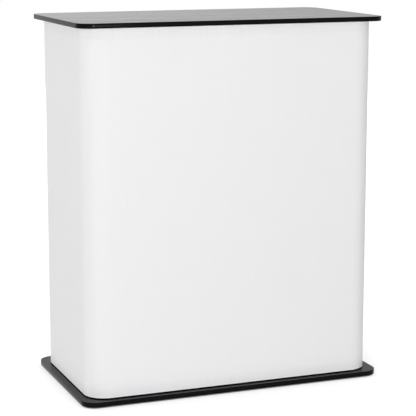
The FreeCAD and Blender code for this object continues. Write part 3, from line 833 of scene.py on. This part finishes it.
def stand_camera(scene, settings):
    """The camera at the photograph's viewing angle."""
    camera = bpy.data.objects.new("camera", bpy.data.cameras.new("camera"))
    scene.collection.objects.link(camera)
    camera.location = settings.camera
    camera.data.lens = settings.lens
    aim(camera, settings.target)
    scene.camera = camera


# Operators
class COUNTER_OT_boards(bpy.types.Operator):
    """Finish the boards and the plinths"""

    bl_idname = "counter.boards"
    bl_label = "Boards"

    def execute(self, context):
        settings = context.scene.counter_boards
        dress(BOARDS, laminate(settings))
        dress(PLINTHS, fibreboard(settings))
        return {"FINISHED"}


class COUNTER_OT_edge_bands(bpy.types.Operator):
    """Make the edge bands with rounded edges"""

    bl_idname = "counter.edge_bands"
    bl_label = "Edge Bands"

    def execute(self, context):
        settings = context.scene.counter_boards
        material = edge_band(settings)
        for name, body in BANDS.items():
            shelf = name.startswith("shelf")
            radius = settings.shelf_corner_radius if shelf else settings.corner_radius
            make_band(name, body, radius, settings, material)
        return {"FINISHED"}


class COUNTER_OT_wrap(bpy.types.Operator):
    """Make the fluted sheet round the counter"""

    bl_idname = "counter.wrap"
    bl_label = "Wrap"

    def execute(self, context):
        settings = context.scene.counter_wrap
        low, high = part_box("wrap_panel")
        plinth_low, plinth_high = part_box("base_plinth")
        make_wrap(settings, fluted_sheet(settings, high.z - low.z, plinth_high.z - plinth_low.z))
        return {"FINISHED"}


class COUNTER_OT_tapes(bpy.types.Operator):
    """Finish the hook and loop tapes"""

    bl_idname = "counter.tapes"
    bl_label = "Tapes"

    def execute(self, context):
        settings = context.scene.counter_wrap
        dress(HOOK_TAPES, hook_tape(settings))
        dress(LOOP_TAPES, loop_tape(settings))
        return {"FINISHED"}


class COUNTER_OT_posts(bpy.types.Operator):
    """Finish the tubes and their plugs"""

    bl_idname = "counter.posts"
    bl_label = "Posts"

    def execute(self, context):
        settings = context.scene.counter_hardware
        dress(TUBES, aluminium(settings))
        dress(PLUGS, nylon(settings))
        return {"FINISHED"}


class COUNTER_OT_fasteners(bpy.types.Operator):
    """Finish the bolts, studs and sockets, and make the screws"""

    bl_idname = "counter.fasteners"
    bl_label = "Fasteners"

    def execute(self, context):
        settings = context.scene.counter_hardware
        material = zinc_steel(settings)
        dress(FITTINGS, material)
        for name, body in SCREWS.items():
            make_screws(name, body, settings, material)
        return {"FINISHED"}


class COUNTER_OT_feet(bpy.types.Operator):
    """Finish the rubber feet"""

    bl_idname = "counter.feet"
    bl_label = "Feet"

    def execute(self, context):
        dress(FEET, rubber(context.scene.counter_hardware))
        return {"FINISHED"}


class COUNTER_OT_stage(bpy.types.Operator):
    """Set up the floor, the light and the camera"""

    bl_idname = "counter.stage"
    bl_label = "Stage"

    def execute(self, context):
        scene = context.scene
        settings = scene.counter_stage
        scene.view_settings.view_transform = "Standard"
        light_world(scene, settings)
        lay_floor(settings)
        for name, bearing in SOFTBOX_BEARINGS.items():
            size = settings.lamp_width, settings.lamp_tall
            lamp = stand_lamp(scene, name, bearing, size, settings.lamp_height, settings)
            lamp.visible_glossy = False
        for name, bearing in GLOSS_BEARINGS.items():
            size = getattr(settings, f"{name}_width"), settings.gloss_tall
            lamp = stand_lamp(scene, name, bearing, size, settings.gloss_height, settings)
            lamp.visible_diffuse = False
        stand_camera(scene, settings)
        return {"FINISHED"}


class COUNTER_PT_sidebar(bpy.types.Panel):
    """The counter's pieces and settings"""

    bl_idname = "COUNTER_PT_sidebar"
    bl_label = "Trade Show Counter"
    bl_space_type = "VIEW_3D"
    bl_region_type = "UI"
    bl_category = "Counter"

    def draw(self, context):
        for operator in OPERATORS:
            self.layout.operator(operator.bl_idname)
        for name in SETTINGS:
            group = getattr(context.scene, name)
            box = self.layout.box()
            for prop in group.bl_rna.properties:
                if prop.identifier not in ("rna_type", "name"):
                    box.prop(group, prop.identifier)


SETTINGS = {
    "counter_boards": BoardSettings,
    "counter_wrap": WrapSettings,
    "counter_hardware": HardwareSettings,
    "counter_stage": StageSettings,
}
OPERATORS = (
    COUNTER_OT_boards,
    COUNTER_OT_edge_bands,
    COUNTER_OT_wrap,
    COUNTER_OT_tapes,
    COUNTER_OT_posts,
    COUNTER_OT_fasteners,
    COUNTER_OT_feet,
    COUNTER_OT_stage,
)
CLASSES = (*SETTINGS.values(), *OPERATORS, COUNTER_PT_sidebar)


def register():
    for cls in CLASSES:
        bpy.utils.register_class(cls)
    for name, group in SETTINGS.items():
        setattr(bpy.types.Scene, name, PointerProperty(type=group))


def unregister():
    for name in SETTINGS:
        delattr(bpy.types.Scene, name)
    for cls in reversed(CLASSES):
        bpy.utils.unregister_class(cls)


def main():
    register()
    bpy.ops.counter.boards()
    bpy.ops.counter.edge_bands()
    bpy.ops.counter.wrap()
    bpy.ops.counter.tapes()
    bpy.ops.counter.posts()
    bpy.ops.counter.fasteners()
    bpy.ops.counter.feet()
    bpy.ops.counter.stage()


if __name__ == "__main__":
    main()
